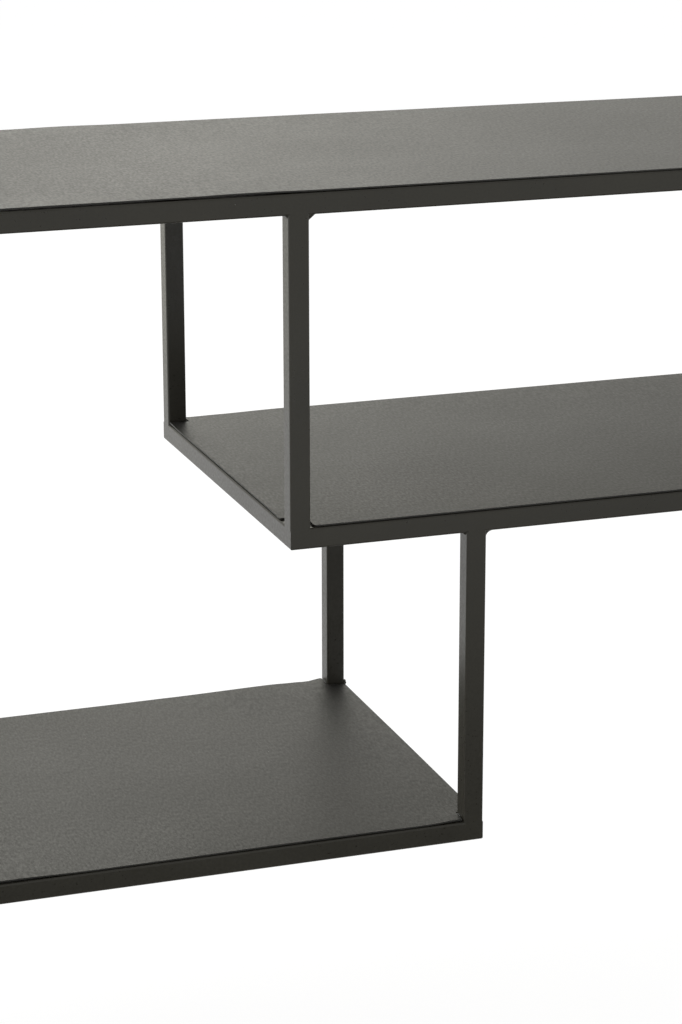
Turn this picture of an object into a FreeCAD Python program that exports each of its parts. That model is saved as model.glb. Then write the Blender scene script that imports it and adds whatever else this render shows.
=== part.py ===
import FreeCAD, Part
import math
import os

# Zigzag bookshelf: three staggered sheet steel shelves on a welded frame of square tube.
# Millimetres, +Z up, X along the shelves, front at -Y, origin on the floor under the middle.

# Whole unit
LENGTH = 1200.0
DEPTH = 350.0
HEIGHT = 770.0
LEVEL_SPACING = 254.0
OVERLAP = 158.0
OVERLAP_CENTRE = 0.0

# Square tube of the rails, posts and legs
TUBE_SIDE = 16.0
TUBE_WALL = 1.2
TUBE_ROUND = 1.6
LEAST_ROUND = 0.2
SEAM_LEFT = 0.1

# Shelf sheets
SHEET_THICKNESS = 1.2
SHEET_SETBACK = 0.5
SHEET_ROUND = 3.0
NOTCH_GAP = 0.8
NOTCH_ROUND = 1.0

# Weld fillets and the short runs under the sheets
BEAD_LEG = 3.0
BEAD_THROAT = 1.5
STITCH_LENGTH = 25.0
STITCH_SPACING = 200.0
LUMP_LENGTH = 7.0
LUMP_WIDTH = 4.0
LUMP_HEIGHT = 2.0

# Leg plugs
PLUG_LENGTH = 22.0
PLUG_GAP = 0.1
PLUG_FLANGE = 2.0
FIN_COUNT = 4
FIN_THICKNESS = 2.0
FIN_DEPTH = 1.5

# Levelling feet
STUD_RADIUS = 3.0
STUD_GAP = 0.05
STUD_LENGTH = 34.0
STUD_CHAMFER = 0.6
PAD_RADIUS = 7.5
PAD_HEIGHT = 6.0
PAD_FLOOR = 2.5
PAD_BASE = 3.0
PAD_ROUND = 0.8
PAD_GRIP = 10.0
FOOT_GAP = 4.0

# Places worked out from the sizes above
LEFT = -LENGTH / 2
RIGHT = LENGTH / 2
FRONT = -DEPTH / 2
REAR = DEPTH / 2
MIDDLE_LEFT = OVERLAP_CENTRE - OVERLAP / 2
LOWER_RIGHT = OVERLAP_CENTRE + OVERLAP / 2
TOP_LEVEL = HEIGHT
MIDDLE_LEVEL = TOP_LEVEL - LEVEL_SPACING
LOWER_LEVEL = MIDDLE_LEVEL - LEVEL_SPACING
HALF_TUBE = TUBE_SIDE / 2
END_OVERRUN = TUBE_ROUND - SEAM_LEFT
LEG_FOOT = PAD_HEIGHT + FOOT_GAP + PLUG_FLANGE
ROW_Y = {"front": FRONT + HALF_TUBE, "rear": REAR - HALF_TUBE}
ROW_INWARD = {"front": 1, "rear": -1}
END_X = {"left": LEFT + HALF_TUBE, "right": RIGHT - HALF_TUBE}
UPPER_POST_X = MIDDLE_LEFT + HALF_TUBE
LOWER_POST_X = LOWER_RIGHT - HALF_TUBE

Vector = FreeCAD.Vector
X = Vector(1, 0, 0)
Y = Vector(0, 1, 0)
Z = Vector(0, 0, 1)


def rail_top(level):
    """Height of the rails' upper faces under the sheet whose surface is at this level."""
    return level - SHEET_THICKNESS


def rail_bottom(level):
    """Height of the rails' lower faces under the sheet whose surface is at this level."""
    return rail_top(level) - TUBE_SIDE


def rail_middle(level):
    """Height of the rails' centre lines under the sheet whose surface is at this level."""
    return rail_top(level) - HALF_TUBE


def rounded_outline(corners):
    """Closed wire through right-angled corners, each a point and the radius that rounds it."""
    edges = []
    arrivals = []
    departures = []
    count = len(corners)
    for i in range(count):
        point, radius = corners[i]
        back = (corners[i - 1][0] - point).normalize()
        on = (corners[(i + 1) % count][0] - point).normalize()
        arrivals.append(point + back * radius)
        departures.append(point + on * radius)
        crown = point + (back + on) * (radius * (1 - math.sqrt(0.5)))
        edges.append(Part.Arc(arrivals[i], crown, departures[i]).toShape())
    for i in range(count):
        edges.append(Part.LineSegment(departures[i - 1], arrivals[i]).toShape())
    return Part.Wire(Part.__sortEdges__(edges))


def square_wire(centre, across, up, side, radius):
    """Rounded square about a centre, in the plane of two unit vectors."""
    half = side / 2
    turns = [(-1, -1), (1, -1), (1, 1), (-1, 1)]
    return rounded_outline([(centre + across * (half * a) + up * (half * b), radius) for a, b in turns])


def square_bar(start, end, side, radius, bore=None):
    """Straight square bar between two points on its centre line, hollow where bore wires are given."""
    along = end - start
    across = Y if abs(along.x) > 0 else X
    up = Y if abs(along.z) > 0 else Z
    wires = [square_wire(start, across, up, side, radius)]
    if bore is not None:
        wires.append(square_wire(start, across, up, bore[0], bore[1]))
    face = Part.makeFace(wires, "Part::FaceMakerBullseye")
    return face.extrude(along)


class Tube:
    """A straight length of square tube, with the filled bar that its neighbours are cut against."""

    def __init__(self, start, end):
        inner_side = TUBE_SIDE - 2 * TUBE_WALL
        inner_round = max(TUBE_ROUND - TUBE_WALL, LEAST_ROUND)
        self.solid = square_bar(start, end, TUBE_SIDE, TUBE_ROUND, (inner_side, inner_round))
        self.filled = square_bar(start, end, TUBE_SIDE, TUBE_ROUND)

    def trim(self, *cutters):
        """Cut shapes away from the tube."""
        self.solid = self.solid.cut(list(cutters)).Solids[0]
        self.filled = self.filled.cut(list(cutters)).Solids[0]

    def fit_to(self, *neighbours):
        """Shape the overrun of the tube's ends to the rounded faces of the tubes that it is welded to."""
        self.trim(*[tube.filled for tube in neighbours])


def mitre_wedge(corner_x, corner_y, inward_x, inward_y, level, keep_along_x):
    """Block on the far side of the 45 degree plane through a frame's outer corner."""
    reach = 2 * TUBE_SIDE
    ends = [(-TUBE_SIDE, -TUBE_SIDE), (reach, reach)]
    ends.append((-TUBE_SIDE, reach) if keep_along_x else (reach, -TUBE_SIDE))
    base = rail_bottom(level) - TUBE_SIDE
    points = [Vector(corner_x + inward_x * a, corner_y + inward_y * b, base) for a, b in ends]
    face = Part.Face(Part.makePolygon(points + points[:1]))
    return face.extrude(Z * (3 * TUBE_SIDE))


def long_rail(row, level, x_start, x_end, mitred_ends):
    """Front or rear rail from one X to another, mitred at the named ends and square at the others."""
    y = ROW_Y[row]
    z = rail_middle(level)
    tube = Tube(Vector(x_start, y, z), Vector(x_end, y, z))
    outer_y = y - ROW_INWARD[row] * HALF_TUBE
    if "left" in mitred_ends:
        tube.trim(mitre_wedge(x_start, outer_y, 1, ROW_INWARD[row], level, True))
    if "right" in mitred_ends:
        tube.trim(mitre_wedge(x_end, outer_y, -1, ROW_INWARD[row], level, True))
    return tube


def mitred_end_rail(end, level, outer_x):
    """End rail over the whole depth, mitred at both ends."""
    inward = 1 if end == "left" else -1
    x = outer_x + inward * HALF_TUBE
    z = rail_middle(level)
    tube = Tube(Vector(x, FRONT, z), Vector(x, REAR, z))
    tube.trim(mitre_wedge(outer_x, FRONT, inward, 1, level, False))
    tube.trim(mitre_wedge(outer_x, REAR, inward, -1, level, False))
    return tube


def cross_rail(x, level):
    """Square-ended rail between the inner faces of the long rails."""
    z = rail_middle(level)
    return Tube(Vector(x, FRONT + TUBE_SIDE, z), Vector(x, REAR - TUBE_SIDE, z))


def leg_end_rail(x, level, *neighbours):
    """End rail between a pair of legs, its ends shaped to the tubes that it meets."""
    z = rail_middle(level)
    inset = TUBE_SIDE - END_OVERRUN
    tube = Tube(Vector(x, FRONT + inset, z), Vector(x, REAR - inset, z))
    tube.fit_to(*neighbours)
    return tube


def post(x, row, upper_level, lower_level, *neighbours):
    """Upright on top of one frame and under the next."""
    y = ROW_Y[row]
    foot = Vector(x, y, rail_top(lower_level) - END_OVERRUN)
    head = Vector(x, y, rail_bottom(upper_level) + END_OVERRUN)
    tube = Tube(foot, head)
    tube.fit_to(*neighbours)
    return tube


def build_tubes():
    """All the rails, legs and posts, by name."""
    tubes = {}
    inset = TUBE_SIDE - END_OVERRUN
    for row in ("front", "rear"):
        tubes[f"top_{row}_rail"] = long_rail(row, TOP_LEVEL, LEFT, RIGHT, ("left", "right"))
    tubes["top_left_rail"] = mitred_end_rail("left", TOP_LEVEL, LEFT)
    tubes["top_right_rail"] = mitred_end_rail("right", TOP_LEVEL, RIGHT)
    for row in ("front", "rear"):
        for end in ("left", "right"):
            foot = Vector(END_X[end], ROW_Y[row], LEG_FOOT)
            head = Vector(END_X[end], ROW_Y[row], rail_bottom(TOP_LEVEL) + END_OVERRUN)
            leg = Tube(foot, head)
            leg.fit_to(tubes[f"top_{row}_rail"], tubes[f"top_{end}_rail"])
            tubes[f"leg_{row}_{end}"] = leg
    for row in ("front", "rear"):
        middle = long_rail(row, MIDDLE_LEVEL, MIDDLE_LEFT, RIGHT - inset, ("left",))
        middle.fit_to(tubes[f"leg_{row}_right"])
        tubes[f"middle_{row}_rail"] = middle
        lower = long_rail(row, LOWER_LEVEL, LEFT + inset, LOWER_RIGHT, ("right",))
        lower.fit_to(tubes[f"leg_{row}_left"])
        tubes[f"lower_{row}_rail"] = lower
    tubes["middle_left_rail"] = mitred_end_rail("left", MIDDLE_LEVEL, MIDDLE_LEFT)
    tubes["lower_right_rail"] = mitred_end_rail("right", LOWER_LEVEL, LOWER_RIGHT)
    for shelf, end, level in (("middle", "right", MIDDLE_LEVEL), ("lower", "left", LOWER_LEVEL)):
        names = [f"leg_front_{end}", f"leg_rear_{end}", f"{shelf}_front_rail", f"{shelf}_rear_rail"]
        neighbours = [tubes[name] for name in names]
        tubes[f"{shelf}_{end}_rail"] = leg_end_rail(END_X[end], level, *neighbours)
    tubes["top_cross_rail"] = cross_rail(UPPER_POST_X, TOP_LEVEL)
    tubes["middle_cross_rail"] = cross_rail(LOWER_POST_X, MIDDLE_LEVEL)
    for row in ("front", "rear"):
        names = [f"top_{row}_rail", f"middle_{row}_rail", "middle_left_rail"]
        neighbours = [tubes[name] for name in names]
        tubes[f"upper_{row}_post"] = post(UPPER_POST_X, row, TOP_LEVEL, MIDDLE_LEVEL, *neighbours)
        names = [f"middle_{row}_rail", f"lower_{row}_rail", "lower_right_rail"]
        neighbours = [tubes[name] for name in names]
        tubes[f"lower_{row}_post"] = post(LOWER_POST_X, row, MIDDLE_LEVEL, LOWER_LEVEL, *neighbours)
    return tubes


def sheet(level, left, right, notched):
    """Flat sheet on a frame, set back from its outer faces and cut out around the uprights."""
    z = rail_top(level)
    x_low = left + SHEET_SETBACK
    x_high = right - SHEET_SETBACK
    y_low = FRONT + SHEET_SETBACK
    y_high = REAR - SHEET_SETBACK
    notch = TUBE_SIDE + NOTCH_GAP - SHEET_SETBACK
    corners = []
    turns = [(x_low, y_low, 1, 1), (x_high, y_low, -1, 1), (x_high, y_high, -1, -1), (x_low, y_high, 1, -1)]
    for x, y, inward_x, inward_y in turns:
        if not notched:
            corners.append((Vector(x, y, z), SHEET_ROUND))
            continue
        on_end = (Vector(x, y + inward_y * notch, z), SHEET_ROUND)
        inside = (Vector(x + inward_x * notch, y + inward_y * notch, z), NOTCH_ROUND)
        on_side = (Vector(x + inward_x * notch, y, z), SHEET_ROUND)
        runs_to_side = inward_x == inward_y
        corners += [on_end, inside, on_side] if runs_to_side else [on_side, inside, on_end]
    return Part.Face(rounded_outline(corners)).extrude(Z * SHEET_THICKNESS)


def bead(corner, out_a, out_b, along, length):
    """Hollow-faced weld fillet in the corner of two faces, centred on a point of the corner line."""
    start = corner - along * (length / 2)
    toe_a = start + out_a * BEAD_LEG
    toe_b = start + out_b * BEAD_LEG
    crown = start + (out_a + out_b) * (BEAD_THROAT * math.sqrt(0.5))
    edges = [Part.LineSegment(start, toe_a).toShape()]
    edges.append(Part.Arc(toe_a, crown, toe_b).toShape())
    edges.append(Part.LineSegment(toe_b, start).toShape())
    return Part.Face(Part.Wire(edges)).extrude(along * length)


def tube_bead(corner, out_a, out_b, along):
    """Weld fillet over the flat width of a tube."""
    return bead(corner, out_a, out_b, along, TUBE_SIDE - 2 * TUBE_ROUND)


def post_head_beads(x, level):
    """Fillets on three sides of the heads of a pair of hanging posts."""
    beads = []
    z = rail_bottom(level)
    for row in ("front", "rear"):
        y = ROW_Y[row]
        for side in (-1, 1):
            beads.append(tube_bead(Vector(x + side * HALF_TUBE, y, z), X * side, Z * -1, Y))
        inward = ROW_INWARD[row]
        beads.append(tube_bead(Vector(x, y + inward * HALF_TUBE, z), Y * inward, Z * -1, X))
    return beads


def leg_beads(end, level):
    """Fillets below the rails that meet the pair of legs at one end."""
    beads = []
    inward_x = 1 if end == "left" else -1
    z = rail_bottom(level)
    for row in ("front", "rear"):
        x = END_X[end]
        y = ROW_Y[row]
        inward_y = ROW_INWARD[row]
        beads.append(tube_bead(Vector(x + inward_x * HALF_TUBE, y, z), X * inward_x, Z * -1, Y))
        beads.append(tube_bead(Vector(x, y + inward_y * HALF_TUBE, z), Y * inward_y, Z * -1, X))
    return beads


def cross_rail_beads(x, level):
    """Upright fillets on both sides of a cross rail, at both of its ends."""
    beads = []
    for row in ("front", "rear"):
        inward = ROW_INWARD[row]
        y = ROW_Y[row] + inward * HALF_TUBE
        for side in (-1, 1):
            corner = Vector(x + side * HALF_TUBE, y, rail_middle(level))
            beads.append(tube_bead(corner, X * side, Y * inward, Z))
    return beads


def stitch_beads(level, bays):
    """Short weld runs under a sheet, along the inner faces of its long rails, bay by bay."""
    beads = []
    z = rail_top(level)
    for bay_start, bay_end in bays:
        count = max(1, round((bay_end - bay_start) / STITCH_SPACING))
        pitch = (bay_end - bay_start) / count
        for row in ("front", "rear"):
            inward = ROW_INWARD[row]
            y = ROW_Y[row] + inward * HALF_TUBE
            for i in range(count):
                corner = Vector(bay_start + pitch * (i + 0.5), y, z)
                beads.append(bead(corner, Y * inward, Z * -1, X, STITCH_LENGTH))
    return beads


def weld_lump():
    """Weld left unground on the outer side of the lower rear post, where it stands on its frame."""
    base = Vector(LOWER_RIGHT, ROW_Y["rear"], rail_top(LOWER_LEVEL))
    start = base - Y * (LUMP_LENGTH / 2)
    low = start - Z * (LUMP_WIDTH / 2)
    high = start + Z * (LUMP_WIDTH / 2)
    edges = [Part.LineSegment(high, low).toShape()]
    edges.append(Part.Arc(low, start + X * LUMP_HEIGHT, high).toShape())
    return Part.Face(Part.Wire(edges)).extrude(Y * LUMP_LENGTH)


def leg_plug(x, y):
    """Finned plug with a flange, in the open foot of a leg, bored for the levelling stud."""
    inner_side = TUBE_SIDE - 2 * TUBE_WALL - 2 * PLUG_GAP
    base = Vector(x, y, LEG_FOOT)
    core_side = inner_side - 2 * FIN_DEPTH
    plug = square_bar(base - Z * PLUG_FLANGE, base, TUBE_SIDE, TUBE_ROUND)
    plug = plug.fuse(square_bar(base, base + Z * PLUG_LENGTH, core_side, LEAST_ROUND))
    fin_pitch = (PLUG_LENGTH - FIN_THICKNESS) / FIN_COUNT
    for i in range(FIN_COUNT):
        low = base + Z * (fin_pitch * (i + 1))
        plug = plug.fuse(square_bar(low, low + Z * FIN_THICKNESS, inner_side, LEAST_ROUND))
    bore_length = PLUG_FLANGE + PLUG_LENGTH
    bore = Part.makeCylinder(STUD_RADIUS + STUD_GAP, bore_length, base - Z * PLUG_FLANGE)
    return plug.cut(bore).removeSplitter().Solids[0]


def foot_stud(x, y):
    """Levelling stud, standing in its pad and passing up through the leg plug."""
    foot = Vector(x, y, PAD_FLOOR)
    stud = Part.makeCylinder(STUD_RADIUS, STUD_LENGTH, foot)
    rims = [edge for edge in stud.Edges if edge.Closed]
    return stud.makeChamfer(STUD_CHAMFER, rims).Solids[0]


def foot_pad(x, y):
    """Round pad with a hexagonal grip and a blind seat for the stud."""
    base = Part.makeCylinder(PAD_RADIUS, PAD_BASE, Vector(x, y, 0))
    rims = [edge for edge in base.Edges if edge.Closed]
    base = base.makeFillet(PAD_ROUND, rims)
    corner_radius = PAD_GRIP / math.sqrt(3)
    angles = [math.radians(60 * i) for i in range(7)]
    points = [Vector(x + corner_radius * math.cos(a), y + corner_radius * math.sin(a), PAD_BASE) for a in angles]
    grip = Part.Face(Part.makePolygon(points)).extrude(Z * (PAD_HEIGHT - PAD_BASE))
    seat = Part.makeCylinder(STUD_RADIUS + STUD_GAP, PAD_HEIGHT - PAD_FLOOR, Vector(x, y, PAD_FLOOR))
    return base.fuse(grip).cut(seat).removeSplitter().Solids[0]


def build_parts():
    """Every piece of the bookshelf by name."""
    parts = {name: tube.solid for name, tube in build_tubes().items()}
    parts["top_sheet"] = sheet(TOP_LEVEL, LEFT, RIGHT, False)
    parts["middle_sheet"] = sheet(MIDDLE_LEVEL, MIDDLE_LEFT, RIGHT, True)
    parts["lower_sheet"] = sheet(LOWER_LEVEL, LEFT, LOWER_RIGHT, True)
    inner_left = LEFT + TUBE_SIDE
    inner_right = RIGHT - TUBE_SIDE
    upper_cross = (UPPER_POST_X - HALF_TUBE, UPPER_POST_X + HALF_TUBE)
    lower_cross = (LOWER_POST_X - HALF_TUBE, LOWER_POST_X + HALF_TUBE)
    groups = {}
    groups["upper_post_welds"] = post_head_beads(UPPER_POST_X, TOP_LEVEL)
    groups["lower_post_welds"] = post_head_beads(LOWER_POST_X, MIDDLE_LEVEL) + [weld_lump()]
    groups["leg_head_welds"] = leg_beads("left", TOP_LEVEL) + leg_beads("right", TOP_LEVEL)
    groups["leg_rail_welds"] = leg_beads("left", LOWER_LEVEL) + leg_beads("right", MIDDLE_LEVEL)
    groups["cross_rail_welds"] = cross_rail_beads(UPPER_POST_X, TOP_LEVEL)
    groups["cross_rail_welds"] += cross_rail_beads(LOWER_POST_X, MIDDLE_LEVEL)
    top_bays = [(inner_left, upper_cross[0]), (upper_cross[1], inner_right)]
    middle_bays = [(MIDDLE_LEFT + TUBE_SIDE, lower_cross[0]), (lower_cross[1], inner_right)]
    groups["top_sheet_welds"] = stitch_beads(TOP_LEVEL, top_bays)
    groups["middle_sheet_welds"] = stitch_beads(MIDDLE_LEVEL, middle_bays)
    groups["lower_sheet_welds"] = stitch_beads(LOWER_LEVEL, [(inner_left, LOWER_RIGHT - TUBE_SIDE)])
    for name, solids in groups.items():
        parts[name] = Part.makeCompound(solids)
    for row in ("front", "rear"):
        for end in ("left", "right"):
            x = END_X[end]
            y = ROW_Y[row]
            parts[f"leg_plug_{row}_{end}"] = leg_plug(x, y)
            parts[f"foot_stud_{row}_{end}"] = foot_stud(x, y)
            parts[f"foot_pad_{row}_{end}"] = foot_pad(x, y)
    return parts


os.makedirs("parts", exist_ok=True)
for part_name, part_shape in build_parts().items():
    part_shape.exportStep(f"parts/{part_name}.step")
    print(part_name, len(part_shape.Solids), round(part_shape.Volume, 1), part_shape.isValid())
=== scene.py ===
"""Looks of a zigzag bookshelf: powder coated tube, hand-laid sheets, weld beads and levelling feet."""

import logging
import math
from dataclasses import dataclass, field, replace
from enum import Enum
from functools import cached_property
from typing import ClassVar

import bmesh
import bpy
from mathutils import Euler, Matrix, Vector, noise


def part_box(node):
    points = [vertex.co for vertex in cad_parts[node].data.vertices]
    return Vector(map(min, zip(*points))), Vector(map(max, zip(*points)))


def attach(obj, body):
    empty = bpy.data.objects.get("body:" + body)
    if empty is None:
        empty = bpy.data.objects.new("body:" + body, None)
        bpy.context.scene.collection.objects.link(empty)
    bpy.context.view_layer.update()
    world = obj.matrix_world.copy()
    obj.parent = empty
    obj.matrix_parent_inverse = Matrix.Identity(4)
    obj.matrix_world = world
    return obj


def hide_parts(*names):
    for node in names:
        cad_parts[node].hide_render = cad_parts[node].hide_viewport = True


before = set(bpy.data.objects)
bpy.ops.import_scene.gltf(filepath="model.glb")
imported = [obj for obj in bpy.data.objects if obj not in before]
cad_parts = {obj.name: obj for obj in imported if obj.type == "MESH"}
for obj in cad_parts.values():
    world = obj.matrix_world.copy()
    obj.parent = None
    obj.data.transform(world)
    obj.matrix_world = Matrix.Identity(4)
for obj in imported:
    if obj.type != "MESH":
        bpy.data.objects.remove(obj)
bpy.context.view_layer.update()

MM = 0.001
LOG = logging.getLogger("bookshelf")

Shade = tuple[int, int, int]
Colour = tuple[float, float, float, float]
Point = tuple[float, float, float]
EdgeGaps = tuple[tuple[float, float], ...]
Socket = bpy.types.NodeSocket

X = Vector((1, 0, 0))
Y = Vector((0, 1, 0))
Z = Vector((0, 0, 1))

# Value of a bevel's profile that gives a round.
ROUND_PROFILE = 0.5


class Level(Enum):
    """The three shelf levels, as the nodes spell them."""

    TOP = "top"
    MIDDLE = "middle"
    LOWER = "lower"

    def rail(self, side: str) -> tuple[Vector, Vector]:
        """Lowest and highest corner of the level's left, right, front or rear rail."""
        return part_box(f"{self.value}_{side}_rail")

    @property
    def rail_top(self) -> float:
        """Height of the rails' upper faces."""
        return self.rail("front")[1].z

    @property
    def rail_bottom(self) -> float:
        """Height of the rails' lower faces."""
        return self.rail("front")[0].z


class Row(Enum):
    """Front and rear rows of tubes, each with the direction along Y that leads inwards."""

    FRONT = 1
    REAR = -1

    @property
    def word(self) -> str:
        """The row's name as the nodes spell it."""
        return self.name.lower()


class End(Enum):
    """Left and right ends of the unit, each with the direction along X that leads inwards."""

    LEFT = 1
    RIGHT = -1

    @property
    def word(self) -> str:
        """The end's name as the nodes spell it."""
        return self.name.lower()

    @property
    def short_level(self) -> Level:
        """The short shelf that reaches this end."""
        return Level.LOWER if self is End.LEFT else Level.MIDDLE


class NodeTree:
    """Short calls to add nodes to a material or the world and to wire them."""

    noise_roughness: ClassVar[float] = 0.55
    noise_low: ClassVar[float] = 0.3
    noise_high: ClassVar[float] = 0.7

    def __init__(self, tree: bpy.types.NodeTree) -> None:
        """Start from the emptied tree of a material or of the world."""
        self.tree = tree
        tree.nodes.clear()

    def add(self, kind: str, inputs: dict | None = None, **settings: object) -> bpy.types.Node:
        """Add a node, set its properties and fill or wire its inputs.

        Args:
            kind: the node's type name, without its common first word.
            inputs: value or output socket for each input, by the input's name or index.
            settings: properties of the node itself.

        Returns:
            The new node.
        """
        node = self.tree.nodes.new(f"ShaderNode{kind}")
        for name, value in settings.items():
            setattr(node, name, value)
        for name, value in (inputs or {}).items():
            socket = node.inputs[name]
            if isinstance(value, Socket):
                self.tree.links.new(value, socket)
            else:
                socket.default_value = value
        return node

    def maths(self, operation: str, *values: object) -> Socket:
        """Result of an operation on numbers or sockets, taken in order."""
        return self.add("Math", dict(enumerate(values)), operation=operation).outputs[0]

    def place(self, stretch: Point | None = None) -> Socket:
        """Place on the object in metres, stretched if asked.

        Args:
            stretch: how much longer features become along X, Y and Z.

        Returns:
            The place's socket.
        """
        here = self.add("TexCoord").outputs["Object"]
        if stretch is None:
            return here
        shares = tuple(1 / share for share in stretch)
        return self.add("VectorMath", {0: here, 1: shares}, operation="MULTIPLY").outputs[0]

    def noise(self, place: Socket, size: float, detail: float = 2.0) -> Socket:
        """Soft noise with features of one size in metres and a number of finer layers."""
        inputs = {"Vector": place, "Scale": 1 / size, "Detail": detail, "Roughness": self.noise_roughness}
        return self.add("TexNoise", inputs).outputs["Fac"]

    def spread(self, value: Socket, low: float, high: float) -> Socket:
        """Map a noise value, from its usual low to its usual high, to a span of numbers."""
        source = {"Value": value, "From Min": self.noise_low, "From Max": self.noise_high}
        return self.add("MapRange", source | {"To Min": low, "To Max": high}).outputs[0]

    def tinted(self, shade: Shade, share: Socket) -> Socket:
        """A display colour made lighter and darker from place to place, by a share of about 1."""
        return self.add("VectorMath", {0: linear(shade)[:3], "Scale": share}, operation="SCALE").outputs[0]

    def mixed(self, share: Socket, first: Socket, second: Colour) -> Socket:
        """Two colours mixed, with a share from 0 to 1 of the second one."""
        # The node has sockets of the same name for each kind of data, so the colours go by index.
        return self.add("Mix", {0: share, 6: first, 7: second}, data_type="RGBA").outputs[2]

    def bump(
        self, height: Socket, depth: float, strength: float = 1.0, over: Socket | None = None
    ) -> Socket:
        """Raise the surface by a pattern.

        Args:
            height: the pattern.
            depth: how far its whole range reaches, in metres.
            strength: how much of it shows.
            over: normal of the pattern that it lies over, if any.

        Returns:
            The normal's socket.
        """
        inputs = {"Strength": strength, "Distance": depth, "Height": height}
        if over is not None:
            inputs["Normal"] = over
        return self.add("Bump", inputs).outputs[0]

    def seen_directly(self) -> Socket:
        """Socket that is 1 for camera, glossy and transmission rays.

        Returns:
            The socket.
        """
        path = self.add("LightPath").outputs
        either = self.maths("MAXIMUM", path["Is Camera Ray"], path["Is Glossy Ray"])
        return self.maths("MAXIMUM", either, path["Is Transmission Ray"])

    def surface(self, **inputs: object) -> None:
        """End the tree with a surface shader.

        Args:
            inputs: the shader's inputs, with underscores for the spaces in their names.
        """
        named = {name.replace("_", " "): value for name, value in inputs.items()}
        shader = self.add("BsdfPrincipled", named)
        self.add("OutputMaterial", {"Surface": shader.outputs[0]})

    def glow(self, colour: Colour, strength: Socket | float) -> None:
        """End the tree with a glow of one colour."""
        shader = self.add("Emission", {"Color": colour, "Strength": strength})
        self.add("OutputMaterial", {"Surface": shader.outputs[0]})


def linear(shade: Shade) -> Colour:
    """Turn a display colour into the linear colour that shaders take.

    Args:
        shade: red, green and blue from 0 to 255.

    Returns:
        Linear red, green, blue and a full alpha.
    """
    shares = [level / 255 for level in shade]
    made = [s / 12.92 if s <= 0.04045 else ((s + 0.055) / 1.055) ** 2.4 for s in shares]
    return made[0], made[1], made[2], 1.0


def grey(level: float) -> Colour:
    """A linear grey with a full alpha."""
    return level, level, level, 1.0


def new_material(name: str) -> tuple[bpy.types.Material, NodeTree]:
    """Make an empty node material.

    Args:
        name: its name.

    Returns:
        The material and its tree.
    """
    made = bpy.data.materials.new(name)
    made.use_nodes = True
    return made, NodeTree(made.node_tree)


@dataclass(frozen=True)
class PowderCoat:
    """Matt black powder coat: pebbled skin, mottled gloss, faint clouds and a few pale specks."""

    name: str
    shade: Shade
    roughness: float
    index: float = 1.4
    pebble: float = 0.9 * MM
    pebble_depth: float = 0.006 * MM
    pebble_softness: float = 0.7
    mottle: float = 2.4 * MM
    mottle_depth: float = 0.02 * MM
    mottle_stretch: Point = (1.0, 1.0, 1.0)
    mottle_share: float = 0.1
    mottle_gloss: float = 0.02
    cloud: float = 90 * MM
    cloud_share: float = 0.1
    cloud_gloss: float = 0.015
    speck_spacing: float = 24 * MM
    speck_share: float = 0.011
    speck_shade: Shade = (150, 149, 144)

    def material(self) -> bpy.types.Material:
        """Make the coat's material.

        Returns:
            The material.
        """
        made, tree = new_material(self.name)
        place = tree.place()
        cloud = tree.noise(place, self.cloud, detail=3)
        mottle = tree.noise(tree.place(self.mottle_stretch), self.mottle)
        share = tree.maths(
            "MULTIPLY",
            tree.spread(cloud, 1 - self.cloud_share, 1 + self.cloud_share),
            tree.spread(mottle, 1 - self.mottle_share, 1 + self.mottle_share),
        )
        gloss = tree.maths(
            "ADD",
            tree.spread(cloud, self.roughness - self.cloud_gloss, self.roughness + self.cloud_gloss),
            tree.spread(mottle, -self.mottle_gloss, self.mottle_gloss),
        )
        cells = {"Vector": place, "Scale": 1 / self.speck_spacing}
        distance = tree.add("TexVoronoi", cells).outputs["Distance"]
        speck = tree.maths("LESS_THAN", distance, self.speck_share)
        dimples = {"Vector": place, "Scale": 1 / self.pebble, "Smoothness": self.pebble_softness}
        pebbles = tree.add("TexVoronoi", dimples, feature="SMOOTH_F1").outputs["Distance"]
        pebbled = tree.bump(pebbles, self.pebble_depth)
        tree.surface(
            Base_Color=tree.mixed(speck, tree.tinted(self.shade, share), linear(self.speck_shade)),
            Roughness=gloss,
            IOR=self.index,
            Normal=tree.bump(mottle, self.mottle_depth, over=pebbled),
        )
        return made


@dataclass(frozen=True)
class MouldedNylon:
    """Black moulded nylon with a fine spark-eroded grain."""

    name: str
    shade: Shade = (36, 36, 36)
    shade_share: float = 0.15
    roughness: float = 0.55
    gloss: float = 0.05
    grain: float = 0.5 * MM
    grain_depth: float = 0.02 * MM
    grain_strength: float = 0.5

    def material(self) -> bpy.types.Material:
        """Make the nylon's material.

        Returns:
            The material.
        """
        made, tree = new_material(self.name)
        grain = tree.noise(tree.place(), self.grain, detail=3)
        share = tree.spread(grain, 1 - self.shade_share, 1 + self.shade_share)
        tree.surface(
            Base_Color=tree.tinted(self.shade, share),
            Roughness=tree.spread(grain, self.roughness - self.gloss, self.roughness + self.gloss),
            Normal=tree.bump(grain, self.grain_depth, self.grain_strength),
        )
        return made


@dataclass(frozen=True)
class ZincPlate:
    """Dull zinc plating on the levelling studs."""

    name: str
    shade: Shade = (176, 177, 174)
    darkest: float = 0.88
    lightest: float = 1.06
    smoothest: float = 0.28
    roughest: float = 0.44
    grain: float = 1.2 * MM

    def material(self) -> bpy.types.Material:
        """Make the plating's material.

        Returns:
            The material.
        """
        made, tree = new_material(self.name)
        grain = tree.noise(tree.place(), self.grain, detail=4)
        tree.surface(
            Base_Color=tree.tinted(self.shade, tree.spread(grain, self.darkest, self.lightest)),
            Metallic=1.0,
            Roughness=tree.spread(grain, self.smoothest, self.roughest),
        )
        return made


def dress(piece: bpy.types.Object, material: bpy.types.Material) -> None:
    """Give a piece one material all over."""
    piece.data.materials.clear()
    piece.data.materials.append(material)


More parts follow.
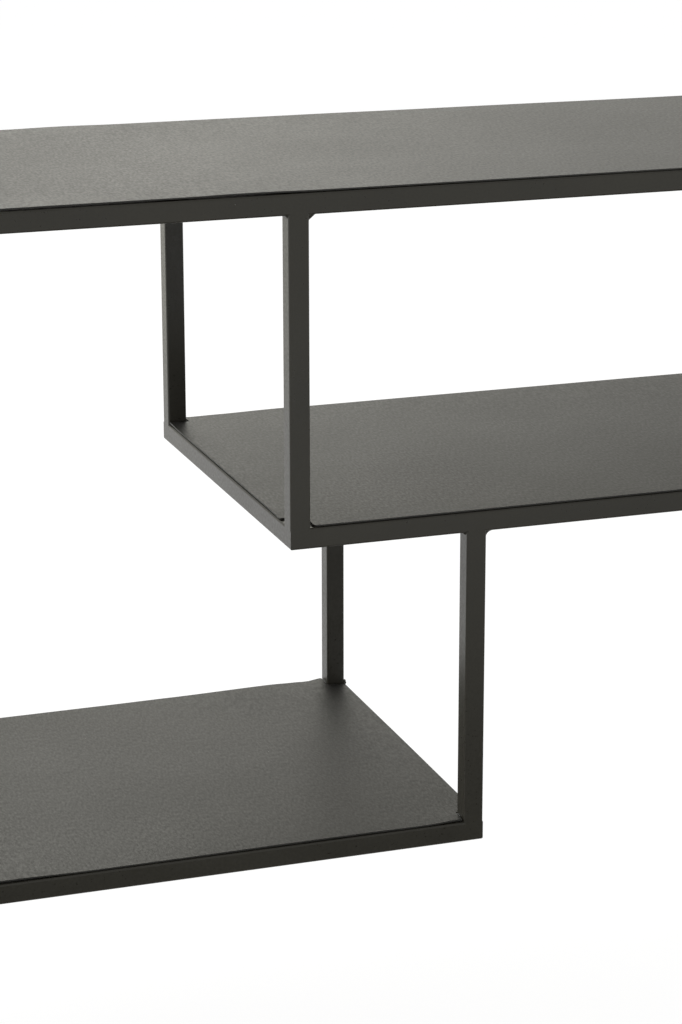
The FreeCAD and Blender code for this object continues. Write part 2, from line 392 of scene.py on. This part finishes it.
def make_piece(
    name: str, shape: bmesh.types.BMesh, material: bpy.types.Material, crease: float
) -> bpy.types.Object:
    """Turn a worked shape into a smooth-shaded object with sharp creases.

    Args:
        name: the object's name.
        shape: the shape, which is used up.
        material: its finish.
        crease: angle in degrees above which an edge stays sharp.

    Returns:
        The new object.
    """
    bmesh.ops.recalc_face_normals(shape, faces=shape.faces[:])
    mesh = bpy.data.meshes.new(name)
    shape.to_mesh(mesh)
    shape.free()
    for face in mesh.polygons:
        face.use_smooth = True
    mesh.set_sharp_from_angle(angle=math.radians(crease))
    piece = bpy.data.objects.new(name, mesh)
    bpy.context.scene.collection.objects.link(piece)
    dress(piece, material)
    return piece


def close_rings(shape: bmesh.types.BMesh, rings: list[list[bmesh.types.BMVert]]) -> None:
    """Join a row of rings into a closed form with a flat face at each end.

    Args:
        shape: the shape that holds the rings.
        rings: the rings in order, with the same number of points in each.
    """
    sides = len(rings[0])
    for ring, after in zip(rings, rings[1:]):
        for j in range(sides):
            k = (j + 1) % sides
            shape.faces.new([ring[j], ring[k], after[k], after[j]])
    shape.faces.new(rings[0])
    shape.faces.new(rings[-1])


@dataclass
class TubeFrame:
    """The welded rails, posts and legs, kept from the solids and given their coat."""

    coat: bpy.types.Material

    def dress(self) -> list[bpy.types.Object]:
        """Coat every tube.

        Returns:
            The tubes.
        """
        tubes = []
        for name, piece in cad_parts.items():
            upright = name.startswith(("leg_front", "leg_rear"))
            if upright or name.endswith(("_rail", "_post")):
                dress(piece, self.coat)
                tubes.append(piece)
        return tubes


@dataclass(frozen=True)
class Lift:
    """A place where a sheet stands further off its rails, or closer to them, fading like a bell."""

    x: float
    y: float
    rise: float
    reach_x: float
    reach_y: float

    def at(self, x: float, y: float) -> float:
        """Rise in metres at a place along and across the shelf."""
        away = ((x - self.x) / self.reach_x) ** 2 + ((y - self.y) / self.reach_y) ** 2
        return self.rise * math.exp(-away)


@dataclass(frozen=True)
class Notch:
    """A cut-out in a sheet around an upright, with the room left beside it and inwards of it."""

    upright: str
    beside: float = 0.7 * MM
    inwards: float = 0.7 * MM

    def corners(self) -> tuple[Vector, Vector]:
        """Lowest and highest corner of the cut-out.

        Returns:
            The two corners.
        """
        low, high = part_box(self.upright)
        room = Vector((self.beside, self.inwards, 0))
        return low - room, high + room


@dataclass
class ShelfSheet:
    """A thin sheet laid on its rails by hand: not quite flat, and cut out around the uprights."""

    level: Level
    coat: bpy.types.Material
    notches: tuple[Notch, ...] = ()
    lifts: tuple[Lift, ...] = ()
    front_gaps: EdgeGaps = ()
    rear_gaps: EdgeGaps = ()
    setback: float = 0.8 * MM
    end_setback: float = 0.8 * MM
    corner_round: float = 1.6 * MM
    corner_segments: int = 8
    rim_round: float = 0.2 * MM
    rim_segments: int = 2
    crease: float = 15.0
    cell: float = 6 * MM
    cell_digits: int = 6  # decimals of a metre that tell two lines of the net apart
    rest_gap: float = 0.7 * MM
    least_gap: float = 0.1 * MM
    front_reach: float = 120 * MM
    rear_reach: float = 60 * MM
    wave: float = 0.12 * MM
    wave_length: float = 0.2
    wave_step: float = 7.0  # how far apart in the noise two levels' waves lie
    flat_share: float = 0.5  # least part of a flat face's normal that points up or down

    def build(self) -> bpy.types.Object:
        """Build the sheet and put it in place of its plain solid.

        Returns:
            The sheet.
        """
        shape = bmesh.new()
        self.lay_cells(shape)
        bmesh.ops.bevel(
            shape,
            geom=[vertex for vertex in shape.verts if len(vertex.link_faces) == 1],
            offset=self.corner_round,
            segments=self.corner_segments,
            profile=ROUND_PROFILE,
            affect="VERTICES",
        )
        low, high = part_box(f"{self.level.value}_sheet")
        grown = bmesh.ops.extrude_face_region(shape, geom=shape.faces[:])["geom"]
        upper = [part for part in grown if isinstance(part, bmesh.types.BMVert)]
        bmesh.ops.translate(shape, verts=upper, vec=Z * (high.z - low.z))
        bmesh.ops.recalc_face_normals(shape, faces=shape.faces[:])
        bmesh.ops.bevel(
            shape,
            geom=[edge for edge in shape.edges if self.is_rim(edge)],
            offset=self.rim_round,
            segments=self.rim_segments,
            profile=ROUND_PROFILE,
            affect="EDGES",
        )
        for vertex in shape.verts:
            vertex.co.z += self.gap(vertex.co.x, vertex.co.y)
        sheet = make_piece(f"{self.level.value}_shelf_sheet", shape, self.coat, self.crease)
        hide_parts(f"{self.level.value}_sheet")
        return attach(sheet, "frame")

    def is_rim(self, edge: bmesh.types.BMEdge) -> bool:
        """Whether an edge runs round the sheet between a flat face and its narrow side."""
        flat = [abs(face.normal.z) > self.flat_share for face in edge.link_faces]
        return any(flat) and not all(flat)

    def gap(self, x: float, y: float) -> float:
        """How far the sheet stands off the rails at a place.

        Args:
            x: place along the shelf.
            y: place across it.

        Returns:
            The gap in metres.
        """
        layer = self.wave_step * list(Level).index(self.level)
        wave = self.wave * noise.noise(Vector((x / self.wave_length, y / self.wave_length, layer)))
        front = math.exp(-(((y - self.front_edge) / self.front_reach) ** 2))
        rear = math.exp(-(((y - self.rear_edge) / self.rear_reach) ** 2))
        rise = (self.edge_gap(self.front_gaps, x) - self.rest_gap) * front
        rise += (self.edge_gap(self.rear_gaps, x) - self.rest_gap) * rear
        rise += sum(lift.at(x, y) for lift in self.lifts)
        return max(self.least_gap, self.rest_gap + wave * (1 - front) * (1 - rear) + rise)

    @cached_property
    def front_edge(self) -> float:
        """Place of the front rail's outer face."""
        return self.level.rail("front")[0].y

    @cached_property
    def rear_edge(self) -> float:
        """Place of the rear rail's outer face."""
        return self.level.rail("rear")[1].y

    @staticmethod
    def edge_gap(places: EdgeGaps, x: float) -> float:
        """Gap under a long edge, eased from one measured place to the next.

        Args:
            places: places along the shelf and the gaps there.
            x: place along the shelf.

        Returns:
            The gap in metres.
        """
        if x <= places[0][0]:
            return places[0][1]
        for (start, start_gap), (end, end_gap) in zip(places, places[1:]):
            if x <= end:
                share = (x - start) / (end - start)
                return start_gap + (end_gap - start_gap) * share * share * (3 - 2 * share)
        return places[-1][1]

    def lay_cells(self, shape: bmesh.types.BMesh) -> None:
        """Lay the sheet's outline as a flat net of cells, leaving out the cut-outs.

        Args:
            shape: the shape to add to.
        """
        notches = [notch.corners() for notch in self.notches]
        left, right = self.level.rail("left")[0].x, self.level.rail("right")[1].x
        x_ends = (left + self.end_setback, right - self.end_setback)
        y_ends = (self.front_edge + self.setback, self.rear_edge - self.setback)
        x_lines = self.net_lines(x_ends, [x for low, high in notches for x in (low.x, high.x)])
        y_lines = self.net_lines(y_ends, [y for low, high in notches for y in (low.y, high.y)])
        height = self.level.rail_top
        knots = {}
        for x in x_lines:
            for y in y_lines:
                knots[x, y] = shape.verts.new((x, y, height))
        for x, next_x in zip(x_lines, x_lines[1:]):
            for y, next_y in zip(y_lines, y_lines[1:]):
                middle = ((x + next_x) / 2, (y + next_y) / 2)
                if any(low.x < middle[0] < high.x and low.y < middle[1] < high.y for low, high in notches):
                    continue
                shape.faces.new([knots[x, y], knots[next_x, y], knots[next_x, next_y], knots[x, next_y]])
        loose = [vertex for vertex in shape.verts if not vertex.link_faces]
        bmesh.ops.delete(shape, geom=loose, context="VERTS")

    def net_lines(self, ends: tuple[float, float], stops: list[float]) -> list[float]:
        """Lines of the net across one direction: the ends, the stops between them, and even steps.

        Args:
            ends: the sheet's two edges.
            stops: edges of the cut-outs.

        Returns:
            The lines in order.
        """
        inside = {round(stop, self.cell_digits) for stop in stops if ends[0] < stop < ends[1]}
        marks = sorted(inside | set(ends))
        lines = []
        for start, end in zip(marks, marks[1:]):
            count = max(1, round((end - start) / self.cell))
            lines += [start + (end - start) * i / count for i in range(count)]
        return lines + [ends[1]]


@dataclass(frozen=True)
class WeldRun:
    """A hand-laid weld along the inner corner of two faces, rippled and a little uneven."""

    middle: Vector
    out_a: Vector
    out_b: Vector
    length: float
    leg: float = 3.1 * MM
    swell: float = 0.06
    end_share: float = 0.45
    tall_share: float = 1.0
    taper_power: int = 6
    uneven: float = 0.16
    wanders_per_metre: float = 400.0
    wanders_apart: float = 9.0  # how far apart in the noise the two legs' wanders lie
    ripple: float = 0.035
    ripple_pitch: float = 1.3 * MM
    burial: float = 0.3 * MM
    station: float = 0.32 * MM
    least_stations: int = 6
    steps: int = 6

    def add_to(self, shape: bmesh.types.BMesh) -> None:
        """Add the run to a shape.

        Args:
            shape: the shape to add to.
        """
        along = self.out_a.cross(self.out_b).normalized()
        count = max(self.least_stations, round(self.length / self.station))
        rings = []
        for i in range(count + 1):
            share = i / count
            centre = self.middle + along * (self.length * (share - 0.5))
            rings.append([shape.verts.new(point) for point in self.section(centre, share)])
        close_rings(shape, rings)

    def section(self, centre: Vector, share: float) -> list[Vector]:
        """Points round the run at one station.

        Args:
            centre: the corner's point there.
            share: how far along the run it is, from 0 to 1.

        Returns:
            The points: the buried corner, then the face from one toe to the other.
        """
        taper = 1 - (1 - self.end_share) * abs(2 * share - 1) ** self.taper_power
        wave = 1 + self.ripple * math.sin(math.tau * share * self.length / self.ripple_pitch)
        spot = centre * self.wanders_per_metre
        wander_a = 1 + self.uneven * noise.noise(spot)
        wander_b = 1 + self.uneven * noise.noise(spot + X * self.wanders_apart)
        leg_a = self.leg * taper * wave * wander_a
        leg_b = self.leg * self.tall_share * taper * wave * wander_b
        points = [centre - (self.out_a + self.out_b) * self.burial]
        for i in range(self.steps + 1):
            t = i / self.steps
            # The face swells in an arc from toe to toe, fullest in its middle.
            swell = self.swell * self.leg * taper * 4 * t * (1 - t)
            towards_a = self.out_a * (leg_a * (1 - t) + swell)
            towards_b = self.out_b * (leg_b * t + swell)
            points.append(centre + towards_a + towards_b)
        return points


@dataclass
class WeldGroup:
    """Welds of one kind that share a node."""

    node: str
    coat: bpy.types.Material
    runs: list[WeldRun] = field(default_factory=list)
    crease: float = 60.0

    def build(self) -> bpy.types.Object:
        """Build the group's beads and put them in place of the plain fillets.

        Returns:
            The beads.
        """
        shape = bmesh.new()
        for run in self.runs:
            run.add_to(shape)
        self.finish_shape(shape)
        beads = make_piece(f"{self.node}_beads", shape, self.coat, self.crease)
        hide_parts(self.node)
        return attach(beads, "frame")

    def finish_shape(self, shape: bmesh.types.BMesh) -> None:
        """Add what the group's shape has besides straight runs: nothing, in a plain group."""


@dataclass(frozen=True)
class Fillet:
    """The weld on one side of an upright: its size, swell, fullness at the ends and height for width."""

    way: Vector
    leg: float = 2.6 * MM
    swell: float = 0.06
    end_share: float = 0.45
    tall_share: float = 1.0

    def run(self, corner: Vector, length: float) -> WeldRun:
        """The weld's run, under a rail.

        Args:
            corner: middle of the corner that it fills.
            length: how long it is.

        Returns:
            The run.
        """
        return WeldRun(
            corner,
            self.way,
            -Z,
            length,
            leg=self.leg,
            swell=self.swell,
            end_share=self.end_share,
            tall_share=self.tall_share,
        )


@dataclass
class UprightWelds(WeldGroup):
    """Fillets round uprights, under the rails that they meet."""

    share_of_side: float = 0.84

    def under(self, upright: str, level: Level, fillets: tuple[Fillet, ...]) -> None:
        """Add fillets to an upright, under a level's rails.

        Args:
            upright: the upright's node.
            level: the level whose rails it meets.
            fillets: the sides that are welded.
        """
        low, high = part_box(upright)
        half = (high - low) / 2
        centre = (low + high) / 2
        centre.z = level.rail_bottom
        for fillet in fillets:
            way = fillet.way
            corner = centre + Vector((way.x * half.x, way.y * half.y, 0))
            side = 2 * (half.y if way.x else half.x)
            self.runs.append(fillet.run(corner, side * self.share_of_side))


@dataclass
class LowerPostWelds(UprightWelds):
    """The lower posts' fillets, with a lump left unground where the rear post stands on its frame."""

    lump_length: float = 6 * MM
    lump_width: float = 5 * MM
    lump_height: float = 2.4 * MM
    lump_inset: float = 2 * MM
    lump_rise: float = 3.1 * MM
    lump_uneven: float = 0.22
    lump_wanders: float = 1.7
    lump_subdivisions: int = 4

    def finish_shape(self, shape: bmesh.types.BMesh) -> None:
        """Add the lump.

        Args:
            shape: the shape to add to.
        """
        low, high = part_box("lower_rear_post")
        place = Vector((high.x, low.y + self.lump_inset, Level.LOWER.rail_top + self.lump_rise))
        blob = bmesh.ops.create_icosphere(shape, subdivisions=self.lump_subdivisions, radius=1.0)["verts"]
        size = Vector((self.lump_height, self.lump_length / 2, self.lump_width / 2))
        for vertex in blob:
            swell = 1 + self.lump_uneven * noise.noise(vertex.co * self.lump_wanders)
            vertex.co = place + vertex.co * size * swell


@dataclass
class CrossRailWelds(WeldGroup):
    """Upright fillets on both sides of a cross rail, at both of its ends."""

    share_of_side: float = 0.84

    def beside(self, cross_rail: str) -> None:
        """Add the four fillets of one cross rail.

        Args:
            cross_rail: its node.
        """
        low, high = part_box(cross_rail)
        height = (low.z + high.z) / 2
        length = (high.z - low.z) * self.share_of_side
        for row in Row:
            y = low.y if row is Row.FRONT else high.y
            for x, way in ((low.x, -X), (high.x, X)):
                corner = Vector((x, y, height))
                self.runs.append(WeldRun(corner, way, Y * row.value, length))


@dataclass(kw_only=True)
class StitchWelds(WeldGroup):
    """Short runs under a sheet, along the inner faces of its long rails."""

    sheet: ShelfSheet
    stitch: float = 25 * MM
    leg: float = 3.6 * MM
    spacing: float = 0.2

    def along(self, bay_start: float, bay_end: float) -> None:
        """Add the stitches of one bay.

        Args:
            bay_start: left end of the bay.
            bay_end: its right end.
        """
        count = max(1, round((bay_end - bay_start) / self.spacing))
        pitch = (bay_end - bay_start) / count
        for row in Row:
            low, high = self.sheet.level.rail(row.word)
            y = high.y if row is Row.FRONT else low.y
            for i in range(count):
                x = bay_start + pitch * (i + 0.5)
                corner = Vector((x, y, high.z + self.sheet.gap(x, y)))
                self.runs.append(WeldRun(corner, Y * row.value, -Z, self.stitch, leg=self.leg))


@dataclass
class LevellingFoot:
    """One screw-in foot: a threaded stud in a moulded pad, under a plugged leg."""

    row: Row
    end: End
    zinc: bpy.types.Material
    nylon: bpy.types.Material
    pitch: float = 1 * MM
    thread_depth: float = 0.5 * MM
    crest_share: float = 0.12
    flank_share: float = 0.72
    points_per_ring: int = 28
    rings_per_pitch: int = 8
    chamfer: float = 0.6 * MM
    crease: float = 40.0

    @property
    def place(self) -> str:
        """The end of the foot's node names."""
        return f"{self.row.word}_{self.end.word}"

    def build(self) -> list[bpy.types.Object]:
        """Cut the stud's thread and dress the pad and the plug.

        Returns:
            The stud, the pad and the plug.
        """
        stud = make_piece(f"threaded_stud_{self.place}", self.thread(), self.zinc, self.crease)
        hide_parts(f"foot_stud_{self.place}")
        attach(stud, f"foot_{self.place}")
        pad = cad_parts[f"foot_pad_{self.place}"]
        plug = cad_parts[f"leg_plug_{self.place}"]
        dress(pad, self.nylon)
        dress(plug, self.nylon)
        return [stud, pad, plug]

    def thread(self) -> bmesh.types.BMesh:
        """Screw thread over the stud's whole length.

        Returns:
            The thread's shape.
        """
        low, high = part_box(f"foot_stud_{self.place}")
        radius = (high.x - low.x) / 2
        axis = (low + high) / 2
        length = high.z - low.z
        shape = bmesh.new()
        count = round(length / self.pitch * self.rings_per_pitch)
        rings = []
        for i in range(count + 1):
            height = length * i / count
            near_end = min(height, length - height)
            limit = radius - max(0.0, self.chamfer - near_end)
            ring = []
            for j in range(self.points_per_ring):
                turn = j / self.points_per_ring
                phase = (height / self.pitch - turn) % 1.0
                size = min(limit, radius - self.thread_depth * self.groove(phase))
                side = Vector((math.cos(math.tau * turn), math.sin(math.tau * turn), 0)) * size
                ring.append(shape.verts.new(Vector((axis.x, axis.y, low.z + height)) + side))
            rings.append(ring)
        close_rings(shape, rings)
        return shape

    def groove(self, phase: float) -> float:
        """Share of the thread's depth at a share of its pitch: 0 at the crest and 1 at the root."""
        slope = 1 - abs(2 * phase - 1)
        return min(1.0, max(0.0, (slope - self.crest_share) / self.flank_share))


@dataclass(frozen=True)
class Fade:
    """A smooth change of strength from one place to another."""

    start: float
    end: float
    first: float
    last: float

    def along(self, tree: NodeTree, place: Socket) -> Socket:
        """Add the fade to a node tree.

        Args:
            tree: the tree to add to.
            place: the place that the strength follows.

        Returns:
            The strength's socket.
        """
        source = {"Value": place, "From Min": self.start, "From Max": self.end}
        result = {"To Min": self.first, "To Max": self.last}
        return tree.add("MapRange", source | result, interpolation_type="SMOOTHSTEP").outputs[0]


@dataclass(frozen=True)
class StagePanel:
    """A flat panel of the studio, reaching as far left as right, between two level edges.

    Each edge is given by its place along Y and its height.
    """

    name: str
    half_width: float
    near_edge: tuple[float, float]
    far_edge: tuple[float, float]

    def build(self, material: bpy.types.Material) -> bpy.types.Object:
        """Add the panel.

        Args:
            material: its material.

        Returns:
            The panel.
        """
        side = self.half_width
        corners = [
            (-side, *self.near_edge),
            (side, *self.near_edge),
            (side, *self.far_edge),
            (-side, *self.far_edge),
        ]
        mesh = bpy.data.meshes.new(self.name)
        mesh.from_pydata(corners, [], [tuple(range(len(corners)))])
        piece = bpy.data.objects.new(self.name, mesh)
        bpy.context.scene.collection.objects.link(piece)
        dress(piece, material)
        return piece

    def build_mirrored(self, material: bpy.types.Material) -> None:
        """Add the panel so that reflections alone show it.

        Args:
            material: its material.
        """
        piece = self.build(material)
        piece.visible_camera = False
        piece.visible_diffuse = False
        piece.visible_shadow = False


@dataclass
class PhotoCamera:
    """The photograph's camera, with its angles in degrees."""

    lens: float = 103.14
    eye: Point = (-0.7294, -2.1756, 1.1410)
    turn: float = -19.062
    tilt_down: float = 16.218
    roll: float = 0.087
    farthest: float = 200.0

    def build(self) -> None:
        """Put the camera where the photograph was taken from."""
        data = bpy.data.cameras.new("photo_camera")
        data.lens = self.lens
        data.clip_end = self.farthest
        camera = bpy.data.objects.new("photo_camera", data)
        camera.location = self.eye
        angles = (math.radians(90 - self.tilt_down), math.radians(self.roll), math.radians(self.turn))
        camera.rotation_euler = Euler(angles)
        bpy.context.scene.collection.objects.link(camera)
        bpy.context.scene.camera = camera


@dataclass
class WhiteRoom:
    """White all round to the eye and in reflections, and softer as a lamp, over a wide white floor."""

    room_light: float = 0.5
    floor_paint: float = 0.86
    floor_shadow: float = 0.22
    floor_glow: float = 0.89
    floor: StagePanel = StagePanel("floor", 40.0, near_edge=(-40.0, 0.0), far_edge=(40.0, 0.0))

    def build(self) -> None:
        """Light the world and lay the floor."""
        self.light_world()
        self.lay_floor()

    def light_world(self) -> None:
        """Make the world white to the eye and in reflections, and softer as a lamp."""
        world = bpy.data.worlds.new("studio_world")
        bpy.context.scene.world = world
        world.use_nodes = True
        world.cycles.sampling_method = "NONE"
        tree = NodeTree(world.node_tree)
        levels = {"Value": tree.seen_directly(), "To Min": self.room_light, "To Max": 1.0}
        strength = tree.add("MapRange", levels).outputs[0]
        sky = tree.add("Background", {"Color": grey(1.0), "Strength": strength})
        tree.add("OutputWorld", {"Surface": sky.outputs[0]})

    def lay_floor(self) -> None:
        """Lay a wide white floor that keeps a faint shadow."""
        made, tree = new_material("white_floor")
        made.cycles.emission_sampling = "NONE"
        paint = tree.add("BsdfDiffuse", {"Color": grey(self.floor_paint)})
        shadowed = tree.add("BsdfDiffuse", {"Color": grey(self.floor_shadow)})
        glow = tree.add("Emission", {"Color": grey(self.floor_glow), "Strength": 1.0})
        white = tree.add("AddShader", {0: shadowed.outputs[0], 1: glow.outputs[0]})
        seen = tree.seen_directly()
        mixed = tree.add("MixShader", {0: seen, 1: paint.outputs[0], 2: white.outputs[0]})
        tree.add("OutputMaterial", {"Surface": mixed.outputs[0]})
        self.floor.build(made)


@dataclass
class SideLamp:
    """A soft lamp high on the left."""

    width: float = 2.2
    height: float = 1.8
    watts: float = 25.0
    place: Point = (-2.4, 0.7, 1.5)
    target: Point = (0.0, 0.0, 0.5)

    def build(self) -> None:
        """Hang the lamp and aim it."""
        data = bpy.data.lights.new("side_lamp", "AREA")
        data.shape = "RECTANGLE"
        data.size = self.width
        data.size_y = self.height
        data.energy = self.watts
        lamp = bpy.data.objects.new("side_lamp", data)
        lamp.location = self.place
        aim = Vector(self.target) - lamp.location
        lamp.rotation_euler = aim.to_track_quat("-Z", "Y").to_euler()
        bpy.context.scene.collection.objects.link(lamp)


@dataclass
class LitScreen:
    """A lit paper screen behind, brightest high in its middle, that is mirrored but not seen."""

    panel: StagePanel = StagePanel("lit_screen", 2.6, near_edge=(2.4, 0.0), far_edge=(2.4, 2.4))
    colour: Colour = (1.0, 0.985, 0.9, 1.0)
    corner: Fade = Fade(start=1.3, end=2.1, first=1.0, last=0.2)
    across: Fade = Fade(start=0.0, end=1.8, first=2.32, last=0.85)
    upwards: Fade = Fade(start=1.0, end=1.6, first=0.58, last=1.46)

    def build(self) -> None:
        """Stand the screen, darker in its upper left corner, on its right and low down."""
        made, tree = new_material("lit_screen")
        place = tree.add("SeparateXYZ", {0: tree.place()}).outputs
        up_and_left = tree.maths("SUBTRACT", place["Z"], place["X"])
        corner = self.corner.along(tree, up_and_left)
        across = self.across.along(tree, place["X"])
        upwards = self.upwards.along(tree, place["Z"])
        tree.glow(self.colour, tree.maths("MULTIPLY", tree.maths("MULTIPLY", corner, across), upwards))
        self.panel.build(made).visible_camera = False


@dataclass
class FloorShade:
    """Painted shadow of the unit on the floor close in front, a glow that reflections alone show."""

    panel: StagePanel = StagePanel("floor_shade", 1.6, near_edge=(-2.0, 0.004), far_edge=(-0.3, 0.004))
    forward: Fade = Fade(start=-2.0, end=-0.9, first=1.0, last=0.08)

    def build(self) -> None:
        """Lay the painted shadow, darkest close to the unit."""
        made, tree = new_material("floor_shade")
        made.cycles.emission_sampling = "NONE"
        place = tree.add("SeparateXYZ", {0: tree.place()}).outputs
        # Painted shadow: the glow fades from full white far in front to dark close to the unit.
        tree.glow(grey(1.0), self.forward.along(tree, place["Y"]))
        self.panel.build_mirrored(made)


@dataclass
class PaintedShadeCanopy:
    """Painted shade in reflections: a dim grey glow over the floor in front, which reflections alone show.
    """

    panel: StagePanel = StagePanel("painted_shade_canopy", 3.0, near_edge=(-3.6, 0.01), far_edge=(-0.5, 2.8))
    strength: float = 0.45

    def build(self) -> None:
        """Hang the canopy of painted shade."""
        made, tree = new_material("painted_shade_canopy")
        made.cycles.emission_sampling = "NONE"
        # Painted shade: a glow under half the room's white, darkening what the coats mirror in front.
        tree.glow(grey(1.0), self.strength)
        self.panel.build_mirrored(made)


def build_studio() -> None:
    """Set up the camera, the white room, the lamp and the panels that the coats mirror."""
    bpy.context.scene.view_settings.view_transform = "Standard"
    for piece in (PhotoCamera(), WhiteRoom(), SideLamp(), LitScreen(), FloorShade(), PaintedShadeCanopy()):
        piece.build()


def gaps(*places: tuple[float, float]) -> EdgeGaps:
    """Places along a sheet's edge in metres and the gaps there, turned from millimetres to metres."""
    return tuple((x, gap * MM) for x, gap in places)


def plan_sheets(coat: bpy.types.Material) -> dict[Level, ShelfSheet]:
    """Describe the three sheets.

    Args:
        coat: their finish.

    Returns:
        The sheets by level.
    """
    front = Level.TOP.rail("front")[0].y
    rear = Level.TOP.rail("rear")[1].y
    left_edge = Level.MIDDLE.rail("left")[0].x
    right_edge = Level.LOWER.rail("right")[1].x
    top = ShelfSheet(
        Level.TOP,
        coat,
        front_gaps=gaps(
            (-0.5, 0.4), (-0.26, 1.0), (-0.16, 1.0), (-0.11, 1.4),
            (-0.05, 0.75), (0.02, 0.6), (0.13, 0.4),
        ),
        rear_gaps=gaps(
            (-0.45, 0.3), (-0.21, 1.55), (-0.165, 1.95), (-0.11, 1.4),
            (0.05, 1.2), (0.16, 0.8), (0.38, 0.2),
        ),
    )
    middle = ShelfSheet(
        Level.MIDDLE,
        coat,
        notches=(
            Notch("upper_front_post", beside=3.3 * MM, inwards=12.5 * MM),
            Notch("upper_rear_post", beside=2.4 * MM, inwards=0.5 * MM),
            Notch("leg_front_right"),
            Notch("leg_rear_right"),
        ),
        front_gaps=gaps((-0.04, 0.7), (0.04, 0.65), (0.1, 0.6)),
        rear_gaps=gaps(
            (-0.054, 0.2), (-0.034, 0.5), (0.025, 1.3), (0.055, 1.1),
            (0.2, 1.3), (0.4, 1.6), (0.55, 0.4),
        ),
        lifts=(
            Lift(x=left_edge, y=0.0, rise=0.35 * MM, reach_x=0.03, reach_y=0.2),
            Lift(x=left_edge + 0.004, y=rear - 0.02, rise=0.9 * MM, reach_x=0.012, reach_y=0.014),
            Lift(x=left_edge + 0.004, y=front + 0.03, rise=-0.5 * MM, reach_x=0.012, reach_y=0.012),
        ),
        corner_round=2.4 * MM,
    )
    lower = ShelfSheet(
        Level.LOWER,
        coat,
        notches=(
            Notch("leg_front_left"),
            Notch("leg_rear_left"),
            Notch("lower_front_post"),
            Notch("lower_rear_post"),
        ),
        front_gaps=gaps(
            (-0.5, 0.4), (-0.3, 1.7), (-0.235, 0.6), (-0.16, 0.7),
            (-0.09, 1.0), (-0.02, 1.0), (0.025, 0.6),
        ),
        rear_gaps=gaps(
            (-0.45, 0.3), (-0.23, 0.9), (-0.14, 1.05), (-0.08, 1.35),
            (0.0145, 2.4), (0.037, 1.8), (0.05, 1.1),
        ),
        lifts=(
            Lift(x=right_edge - 0.019, y=front + 0.004, rise=1.1 * MM, reach_x=0.016, reach_y=0.018),
            Lift(x=right_edge, y=0.03, rise=0.9 * MM, reach_x=0.05, reach_y=0.16),
            Lift(x=right_edge - 0.017, y=rear - 0.004, rise=1.8 * MM, reach_x=0.009, reach_y=0.02),
        ),
        end_setback=0.1 * MM,
    )
    return {sheet.level: sheet for sheet in (top, middle, lower)}


def plan_welds(coat: bpy.types.Material, sheets: dict[Level, ShelfSheet]) -> list[WeldGroup]:
    """Describe every weld.

    Args:
        coat: the welds' finish.
        sheets: the sheets, for the stitches under them.

    Returns:
        The groups of welds.
    """
    upper = UprightWelds("upper_post_welds", coat)
    lower = LowerPostWelds("lower_post_welds", coat)
    heads = UprightWelds("leg_head_welds", coat)
    ends = UprightWelds("leg_rail_welds", coat)
    flat_fillet = Fillet(X, leg=5.4 * MM, swell=0.0, end_share=0.9, tall_share=0.8)
    hollow_fillet = replace(flat_fillet, swell=-0.14)
    large_fillets = {"upper_front_post": flat_fillet, "lower_front_post": hollow_fillet}
    for row in Row:
        inner = Fillet(Y * row.value)
        for word, group, level in (("upper", upper, Level.TOP), ("lower", lower, Level.MIDDLE)):
            post = f"{word}_{row.word}_post"
            group.under(post, level, (Fillet(-X), large_fillets.get(post, Fillet(X)), inner))
        for end in End:
            leg = f"leg_{row.word}_{end.word}"
            fillets = (Fillet(X * end.value), inner)
            heads.under(leg, Level.TOP, fillets)
            ends.under(leg, end.short_level, fillets)
    cross = CrossRailWelds("cross_rail_welds", coat)
    cross_rails = {Level.TOP: "top_cross_rail", Level.MIDDLE: "middle_cross_rail"}
    for cross_rail in cross_rails.values():
        cross.beside(cross_rail)
    groups = [upper, lower, heads, ends, cross]
    for level, sheet in sheets.items():
        stitches = StitchWelds(f"{level.value}_sheet_welds", coat, sheet=sheet)
        bay_start = level.rail("left")[1].x
        if level in cross_rails:
            low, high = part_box(cross_rails[level])
            stitches.along(bay_start, low.x)
            bay_start = high.x
        stitches.along(bay_start, level.rail("right")[0].x)
        groups.append(stitches)
    return groups


def main() -> None:
    """Set up the studio and build and dress every piece."""
    logging.basicConfig(level=logging.INFO, format="%(name)s: %(message)s")
    build_studio()
    tube_coat = PowderCoat(
        "tube_coat",
        shade=(58, 56, 48),
        roughness=0.345,
        index=1.45,
        mottle_share=0.06,
        mottle_gloss=0.07,
    ).material()
    sheet_coat = PowderCoat(
        "sheet_coat",
        shade=(45, 44, 40),
        roughness=0.5,
        index=1.5,
        mottle=1.8 * MM,
        mottle_depth=0.046 * MM,
        mottle_stretch=(1.0, 2.5, 1.0),
        mottle_gloss=0.068,
    ).material()
    for piece in TubeFrame(tube_coat).dress():
        LOG.info("coated %s", piece.name)
    sheets = plan_sheets(sheet_coat)
    for sheet in sheets.values():
        LOG.info("laid %s", sheet.build().name)
    for group in plan_welds(tube_coat, sheets):
        LOG.info("laid %s", group.build().name)
    zinc = ZincPlate("zinc_plate").material()
    nylon = MouldedNylon("black_nylon").material()
    for row in Row:
        for end in End:
            for piece in LevellingFoot(row, end, zinc, nylon).build():
                LOG.info("fitted %s", piece.name)


if __name__ == "__main__":
    main()
